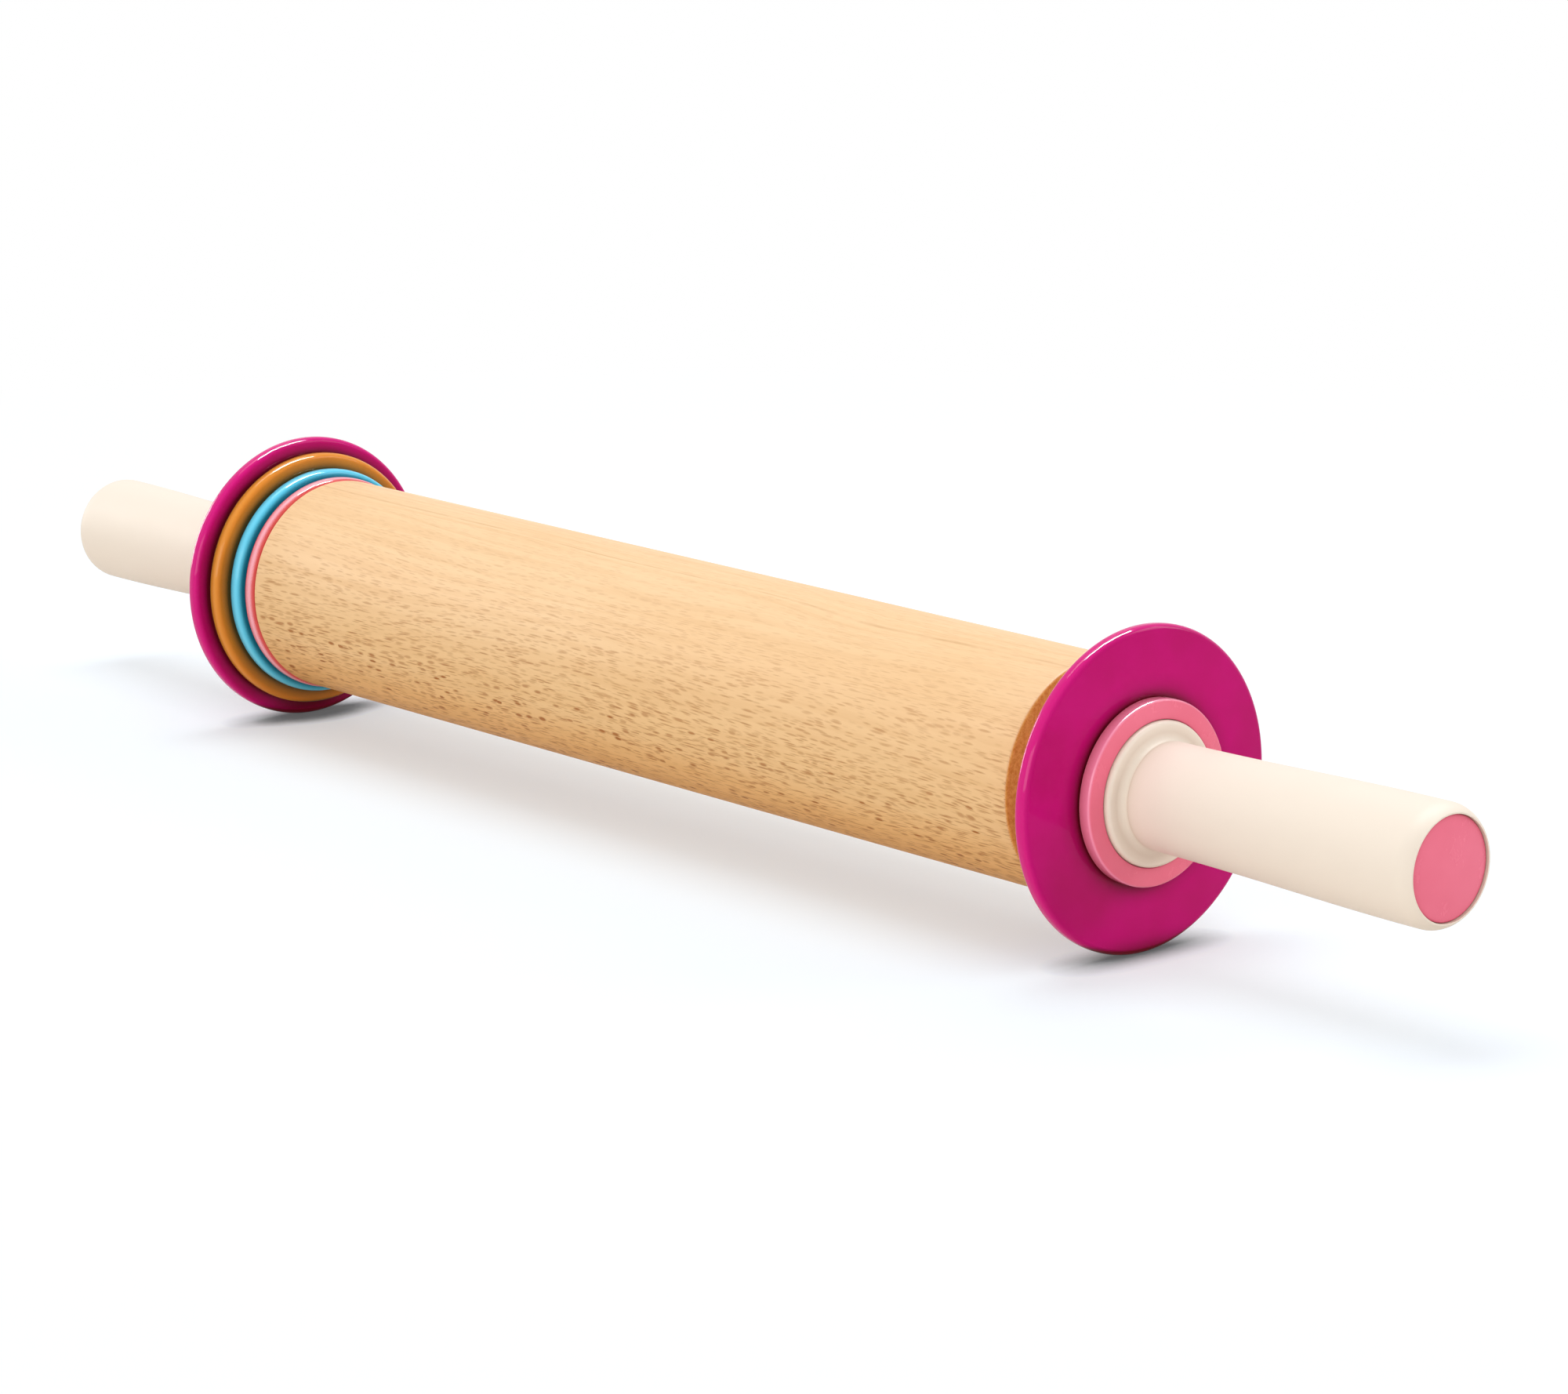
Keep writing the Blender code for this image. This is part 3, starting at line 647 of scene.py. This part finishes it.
# The underside's painted shade
UNDERSIDE_PAINTED_SHADE_START = 0.62
UNDERSIDE_PAINTED_SHADE_SHARE = 0.75
LATEWOOD_START = 0.45
LATEWOOD_SHARE = 0.12
STREAK_RANGE = (0.45, 0.8)
STREAK_SHARE = 0.28
SPECKLE_RANGE = (0.35, 0.65)
END_GRAIN_RANGE = (0.5, 0.85)

# Patterns of the wood in cells per metre, along and across the grain, and the span of the warp
WARP_STRETCH = (6.0, 60.0, 60.0)
WARP_REACH = 12.0 * MM
WOOD_CLOUD_STRETCH = (9.0, 38.0, 38.0)
STREAK_STRETCH = (14.0, 700.0, 700.0)
SPECKLE_STRETCH = (200.0, 1400.0, 1400.0)

# Flecks: the direction of their strongest side, where they start and get full, in shares of the
# roller's radius towards it, and the strength of the faintest. A layer leaves out a share of its cells.
# From its start, a share of the way to full, its strength goes from the least to the most
# The underside's painted shade faces the same way as the flecks' strongest side
FLECK_SIDE = (0.0, -0.33, -0.944)
FLECKS_START = -0.65
FLECKS_FULL = 0.55
FLECK_LEAST = 0.35
FLECK_LAYERS = (
    {
        "cell": (3.8 * MM, 0.45 * MM, 0.45 * MM), "left_out": 0.1, "size": 0.44,
        "start": 0.0, "least": 0.14, "most": 0.62,
    },
    {
        "cell": (5.6 * MM, 0.55 * MM, 0.55 * MM), "left_out": 0.3, "size": 0.43,
        "start": 0.0, "least": 0.12, "most": 0.8,
    },
    {
        "cell": (3.6 * MM, 1.2 * MM, 1.2 * MM), "left_out": 0.5, "size": 0.42,
        "start": 0.75, "least": 0.0, "most": 1.0,
    },
)

# Growth bands round the pith, and one growth line along the top of the roller
PITH_PLACE = (0.0, 31.0 * MM, 26.0 * MM)
GROWTH_WIDTH = 2.6 * MM
GROWTH_LINE_PLACE = -5.8 * MM
GROWTH_LINE_SLOPE = -0.003
GROWTH_LINE_WIDTH = 0.45 * MM
GROWTH_LINE_SHARE = 0.42
GROWTH_LINE_STRETCH = (90.0, 40.0, 40.0)
GROWTH_LINE_RANGE = (0.35, 0.65)
GROWTH_LINE_LEAST = 0.3

# Surface of the wood
WOOD_GLOSS = 0.12
WOOD_ROUGH_RANGE = (0.3, 0.8)
WOOD_ROUGHNESS = (0.44, 0.6)
STREAK_HEIGHT = 0.5
WOOD_RELIEF_STRENGTH = 0.7
WOOD_RELIEF = 0.03 * MM


def wood_places(tree, coordinates):
    """Places from the middle of the axle, plain and bent by a slow warp."""
    centre = (0.0, 0.0, AXLE_HEIGHT)
    place = calculate_vector(tree, "SUBTRACT", {0: coordinates.outputs["Object"], 1: centre})
    warp = noise(tree, stretched(tree, place, WARP_STRETCH), 1.0, output="Color")
    centred = calculate_vector(tree, "SUBTRACT", {0: warp, 1: NOISE_MIDDLE})
    moved = calculate_vector(tree, "SCALE", {0: centred, "Scale": WARP_REACH})
    return place, calculate_vector(tree, "ADD", {0: place, 1: moved})


def growth_bands(tree, bent):
    """Soft bands of latewood in rings round the pith."""
    pith = calculate_vector(tree, "SUBTRACT", {0: bent, 1: PITH_PLACE})
    axes = add_node(tree, "SeparateXYZ", {0: pith})
    squares = [calculate(tree, "MULTIPLY", axes.outputs[key], axes.outputs[key]) for key in "YZ"]
    distance = calculate(tree, "SQRT", calculate(tree, "ADD", *squares))
    band = calculate(tree, "FRACT", calculate(tree, "MULTIPLY", distance, 1 / GROWTH_WIDTH))
    return calculate(tree, "MULTIPLY", spread(tree, band, LATEWOOD_START, 1.0), LATEWOOD_SHARE)


def growth_line(tree, place, bent):
    """The growth line on the upper half, fainter in some places."""
    sides = add_node(tree, "SeparateXYZ", {0: bent})
    run = calculate(tree, "MULTIPLY", sides.outputs["X"], GROWTH_LINE_SLOPE)
    off = calculate(tree, "SUBTRACT", sides.outputs["Y"], run)
    off = calculate(tree, "SUBTRACT", off, GROWTH_LINE_PLACE)
    line = spread(tree, calculate(tree, "ABSOLUTE", off), 0.0, GROWTH_LINE_WIDTH, 1.0, 0.0)
    line = calculate(tree, "MULTIPLY", line, calculate(tree, "GREATER_THAN", sides.outputs["Z"], 0.0))
    faint = noise(tree, stretched(tree, place, GROWTH_LINE_STRETCH), 1.0)
    faint = spread(tree, faint, *GROWTH_LINE_RANGE, GROWTH_LINE_LEAST, 1.0)
    return calculate(tree, "MULTIPLY", calculate(tree, "MULTIPLY", line, faint), GROWTH_LINE_SHARE)


def fleck_layer(tree, bent, flecked, cell, left_out, size, start, least, most):
    """Flecks of one size, each in its cell and of its own strength."""
    scaled = stretched(tree, bent, tuple(1 / length for length in cell))
    cells = add_node(tree, "TexVoronoi", {"Vector": scaled, "Scale": 1.0, "Randomness": 1.0})
    chance = add_node(tree, "SeparateXYZ", {0: cells.outputs["Color"]})
    shape = spread(tree, cells.outputs["Distance"], size, size / 2)
    kept = calculate(tree, "GREATER_THAN", chance.outputs["X"], left_out)
    depth = spread(tree, chance.outputs["Y"], 0.0, 1.0, FLECK_LEAST, 1.0)
    strength = calculate(tree, "MULTIPLY", depth, spread(tree, flecked, start, 1.0, least, most))
    return calculate(tree, "MULTIPLY", calculate(tree, "MULTIPLY", shape, kept), strength)


def ray_flecks(tree, bent, flecked):
    """The flecks of all layers, the strongest one at each place."""
    strongest = 0.0
    for layer in FLECK_LAYERS:
        strongest = calculate(tree, "MAXIMUM", fleck_layer(tree, bent, flecked, **layer), strongest)
    return strongest


def end_grain(tree, place):
    """The speckled colour of the roller's end faces."""
    speckle = noise(tree, stretched(tree, place, SPECKLE_STRETCH), 1.0, detail=3.0, roughness=0.7)
    share = spread(tree, speckle, *SPECKLE_RANGE)
    return blend_colors(tree, share, srgb(*END_GRAIN_LIGHT), srgb(*END_GRAIN_DARK))


def beech(name):
    """Beech: faint growth bands, dark ray flecks that grow stronger on one side, and end grain.

    Its lower side carries painted shade, darker and more orange, in part the tone of the flecked wood.
    """
    material, tree, shader = new_material(name)
    coordinates = add_node(tree, "TexCoord")
    place, bent = wood_places(tree, coordinates)
    reach = radius_of("roller")
    facing = calculate_vector(tree, "DOT_PRODUCT", {0: place, 1: FLECK_SIDE}, "Value")
    flecked = spread(tree, facing, FLECKS_START * reach, FLECKS_FULL * reach)
    fleck = ray_flecks(tree, bent, flecked)
    streaks = noise(tree, stretched(tree, bent, STREAK_STRETCH), 1.0, detail=4.0, roughness=0.6)
    clouds = noise(tree, stretched(tree, place, WOOD_CLOUD_STRETCH), 1.0, detail=3.0)
    overlays = (
        (spread(tree, clouds, *NOISE_RANGE), WOOD_CLOUDED),
        # Painted shade on the flecked side, partly the wood's own tone
        (spread(tree, flecked, FLECKED_SIDE_SHADE_START, 1.0, 0.0, FLECKED_SIDE_SHADE_SHARE), WOOD_FLECKED_SIDE_SHADE),
        # Painted shade on the underside
        (spread(tree, facing, UNDERSIDE_PAINTED_SHADE_START * reach, reach, 0.0, UNDERSIDE_PAINTED_SHADE_SHARE), WOOD_UNDERSIDE_PAINTED_SHADE),
        (growth_bands(tree, bent), WOOD_LATEWOOD),
        (spread(tree, streaks, *STREAK_RANGE, 0.0, STREAK_SHARE), WOOD_STREAK),
        (growth_line(tree, place, bent), WOOD_LINE),
        (fleck, WOOD_FLECK),
    )
    color = srgb(*WOOD_LIGHT)
    for share, overlay in overlays:
        color = blend_colors(tree, share, color, srgb(*overlay))
    normal = add_node(tree, "SeparateXYZ", {0: coordinates.outputs["Normal"]}).outputs["X"]
    at_end = spread(tree, calculate(tree, "ABSOLUTE", normal), *END_GRAIN_RANGE)
    color = blend_colors(tree, at_end, color, end_grain(tree, place))
    tree.links.new(color, shader.inputs["Base Color"])
    shader.inputs["Specular IOR Level"].default_value = WOOD_GLOSS
    roughness = spread(tree, streaks, *WOOD_ROUGH_RANGE, *WOOD_ROUGHNESS)
    tree.links.new(roughness, shader.inputs["Roughness"])
    height = calculate(tree, "SUBTRACT", calculate(tree, "MULTIPLY", streaks, STREAK_HEIGHT), fleck)
    add_bump(tree, shader, height, WOOD_RELIEF_STRENGTH, WOOD_RELIEF)
    return material


# Steel: colours in linear values, marks round the axle and their relief
STEEL_LIGHT = (0.62, 0.62, 0.63, 1)
STEEL_STAINED = (0.46, 0.455, 0.45, 1)
STAIN_SCALE = 240.0
STAIN_RANGE = (0.35, 0.7)
TURNING_STRETCH = (9000.0, 120.0, 120.0)
STEEL_ROUGHNESS = (0.22, 0.42)
STEEL_RELIEF_STRENGTH = 0.5
STEEL_RELIEF = 0.01 * MM


def steel(name):
    """Bright turned steel with fine marks round the axle."""
    material, tree, shader = new_material(name)
    place = add_node(tree, "TexCoord").outputs["Object"]
    marks = noise(tree, stretched(tree, place, TURNING_STRETCH), 1.0, detail=3.0)
    stain = spread(tree, noise(tree, place, STAIN_SCALE, detail=3.0), *STAIN_RANGE)
    color = blend_colors(tree, stain, STEEL_LIGHT, STEEL_STAINED)
    tree.links.new(color, shader.inputs["Base Color"])
    roughness = spread(tree, marks, *NOISE_RANGE, *STEEL_ROUGHNESS)
    tree.links.new(roughness, shader.inputs["Roughness"])
    shader.inputs["Metallic"].default_value = 1.0
    add_bump(tree, shader, marks, STEEL_RELIEF_STRENGTH, STEEL_RELIEF)
    return material


# Rubber of the washers under the collars
RUBBER_LIGHT = (58, 8, 26)
RUBBER_DARK = (34, 5, 16)
RUBBER_GRAIN_SCALE = 3000.0
RUBBER_ROUGHNESS = (0.55, 0.75)
RUBBER_RELIEF_STRENGTH = 0.6
RUBBER_RELIEF = 0.02 * MM


def rubber(name):
    """Matt dark rubber with a fine grain."""
    material, tree, shader = new_material(name)
    place = add_node(tree, "TexCoord").outputs["Object"]
    grain = noise(tree, place, RUBBER_GRAIN_SCALE, detail=3.0)
    share = spread(tree, grain, *NOISE_RANGE)
    color = blend_colors(tree, share, srgb(*RUBBER_LIGHT), srgb(*RUBBER_DARK))
    tree.links.new(color, shader.inputs["Base Color"])
    roughness = spread(tree, grain, *NOISE_RANGE, *RUBBER_ROUGHNESS)
    tree.links.new(roughness, shader.inputs["Roughness"])
    add_bump(tree, shader, grain, RUBBER_RELIEF_STRENGTH, RUBBER_RELIEF)
    return material


def make_materials():
    """The finishes by name, in place of the materials that came with the solids."""
    for old in list(bpy.data.materials):
        bpy.data.materials.remove(old)
    made = [beech("beech")]
    made += [plastic(name, **look) for name, look in PLASTICS.items()]
    made += [rubber("dark_rubber"), steel("steel")]
    return {material.name: material for material in made}


def dress_hidden_nodes(materials):
    """Gives the inner solids that stay as they are their own finishes."""
    finishes = {
        "axle_rod": "steel", "axle_washer": "steel", "axle_nut": "steel",
        "thrust_washer": "white_nylon", "inner_bush": "white_nylon", "outer_bush": "white_nylon",
    }
    for name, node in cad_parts.items():
        for start, finish in finishes.items():
            if name.startswith(start):
                node.data.materials.clear()
                node.data.materials.append(materials[finish])


# The table top: half its width, its colour for the camera and for the light that it sends back, and
# the light of its own
FLOOR_HALF = 6.0
FLOOR_COLOR = (0.545, 0.602, 0.655, 1.0)
FLOOR_BOUNCE = (0.71, 0.67, 0.62, 1.0)
FLOOR_LIFT = 0.414

# Shade on the table close to the pin, and how open a place is where it is full and where it ends
FLOOR_SHADE = 0.8
FLOOR_SHADE_REACH = 8.0 * MM
FLOOR_SHADE_RANGE = (0.5, 0.95)

# How far from the middle the table fades to white
FADE_START = 0.28
FADE_END = 0.6

# Light of the surroundings, as a share of the white that they show
WORLD_LEVEL = 0.66

# The lamps, each a rectangle that faces the middle of the pin
LAMPS = {
    "key": {"place": (-0.3, 0.1, 1.25), "size": (0.9, 0.5), "power": 5.6},
    "side": {"place": (0.8, 1.0, 0.7), "size": (0.6, 0.6), "power": 4.5},
    "fill": {"place": (0.6, -1.65, 0.45), "size": (1.6, 0.8), "power": 9.6},
    "glint": {"place": (0.1, 0.34, 1.23), "size": (0.09, 0.8), "power": 66.0, "only_gloss": True},
    "rim": {"place": (-1.1, -0.25, 0.26), "size": (0.3, 0.52), "power": 5.0, "only_gloss": True},
}

# The camera, with its angles in radians and its place from the middle of the pin
CAMERA_YAW = 0.7115
CAMERA_PITCH = 0.2233
CAMERA_PLACE = (0.79499, -0.65796, 0.228957)
FOCAL_PIXELS = 6440.17
PHOTO_WIDTH = 2000
SENSOR_WIDTH = 36.0
NEAR_LIMIT = 0.01


def seen_rays(tree):
    """1 for rays from the camera, and for those that gloss and glass send on."""
    path = add_node(tree, "LightPath")
    seen = calculate(tree, "MAXIMUM", path.outputs["Is Camera Ray"], path.outputs["Is Glossy Ray"])
    return calculate(tree, "MAXIMUM", seen, path.outputs["Is Transmission Ray"])


def make_floor():
    """A pale table top that takes the shadow and fades to plain white away from the pin."""
    bm = bmesh.new()
    bmesh.ops.create_grid(bm, x_segments=1, y_segments=1, size=FLOOR_HALF)
    mesh = bpy.data.meshes.new("floor")
    bm.to_mesh(mesh)
    bm.free()
    material, tree, shader = new_material("floor")
    tree.nodes.remove(shader)
    seen = seen_rays(tree)
    corner = add_node(tree, "AmbientOcclusion", {"Distance": FLOOR_SHADE_REACH}, samples=PAINTED_SHADE_SAMPLES)
    open_share = spread(tree, corner.outputs["AO"], *FLOOR_SHADE_RANGE, 1 - FLOOR_SHADE, 1.0)
    shown = blend_colors(tree, open_share, (0, 0, 0, 1), FLOOR_COLOR)
    diffuse = add_node(tree, "BsdfDiffuse", {"Color": blend_colors(tree, seen, FLOOR_BOUNCE, shown)})
    lift = calculate(tree, "MULTIPLY", calculate(tree, "MULTIPLY", seen, FLOOR_LIFT), open_share)
    lift = add_node(tree, "Emission", {"Strength": lift})
    lifted = add_node(tree, "AddShader", {0: diffuse.outputs[0], 1: lift.outputs[0]})
    white = add_node(tree, "Emission", {"Strength": 1.0})
    place = add_node(tree, "TexCoord").outputs["Object"]
    reach = calculate_vector(tree, "LENGTH", {0: place}, "Value")
    fade = calculate(tree, "MULTIPLY", spread(tree, reach, FADE_START, FADE_END), seen)
    shown = add_node(tree, "MixShader", {0: fade, 1: lifted.outputs[0], 2: white.outputs[0]})
    tree.links.new(shown.outputs[0], tree.nodes["Material Output"].inputs["Surface"])
    floor = make_object("floor", mesh, material)


def make_world():
    """White surroundings that light the pin a little less than they show."""
    world = bpy.data.worlds.new("studio")
    bpy.context.scene.world = world
    world.use_nodes = True
    tree = world.node_tree
    strength = spread(tree, seen_rays(tree), 0.0, 1.0, WORLD_LEVEL, 1.0)
    tree.links.new(strength, tree.nodes["Background"].inputs["Strength"])
    tree.nodes["Background"].inputs["Color"].default_value = (1, 1, 1, 1)


def aim(holder, place, direction):
    """Puts a lamp or the camera at its place and points it along a direction."""
    holder.location = place
    holder.rotation_mode = "QUATERNION"
    holder.rotation_quaternion = direction.to_track_quat("-Z", "Y")


def make_lamp(name, place, size, power, only_gloss=False):
    """A rectangular lamp. One that is only for gloss gives highlights and no other light."""
    lamp = bpy.data.lights.new(name, "AREA")
    lamp.shape = "RECTANGLE"
    lamp.size, lamp.size_y = size
    lamp.energy = power
    holder = make_object(name, lamp)
    aim(holder, place, Vector((0, 0, AXLE_HEIGHT)) - Vector(place))
    holder.visible_diffuse = not only_gloss
    holder.visible_camera = False


def make_camera():
    """The camera, as fitted to the outlines in the photograph."""
    camera = bpy.data.cameras.new("camera")
    camera.sensor_fit = "HORIZONTAL"
    camera.sensor_width = SENSOR_WIDTH
    camera.lens = FOCAL_PIXELS / PHOTO_WIDTH * SENSOR_WIDTH
    camera.clip_start = NEAR_LIMIT
    forward = Vector((
        -math.cos(CAMERA_YAW) * math.cos(CAMERA_PITCH),
        math.sin(CAMERA_YAW) * math.cos(CAMERA_PITCH),
        -math.sin(CAMERA_PITCH),
    ))
    holder = make_object("camera", camera)
    aim(holder, Vector(CAMERA_PLACE) + Vector((0, 0, AXLE_HEIGHT)), forward)
    bpy.context.scene.camera = holder


def main():
    """Dresses all the pieces and sets up the studio."""
    materials = make_materials()
    make_roller(materials["beech"])
    for side in SIDES:
        make_hub(side, materials["cream_plastic"])
        make_screws(side, materials["steel"])
        make_collar_washer(side, materials["dark_rubber"])
        make_collar(side, materials["coral_plastic"])
        make_handle(side, materials["cream_plastic"])
        make_cap(side, materials["coral_plastic"])
        for ring in RING_NAMES:
            node = f"ring_{ring}_{side}"
            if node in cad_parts:
                make_ring(node, side, materials[f"{ring}_plastic"])
    dress_hidden_nodes(materials)
    make_floor()
    make_world()
    for name, lamp in LAMPS.items():
        make_lamp(name, **lamp)
    make_camera()
    bpy.context.scene.view_settings.view_transform = "Standard"


main()
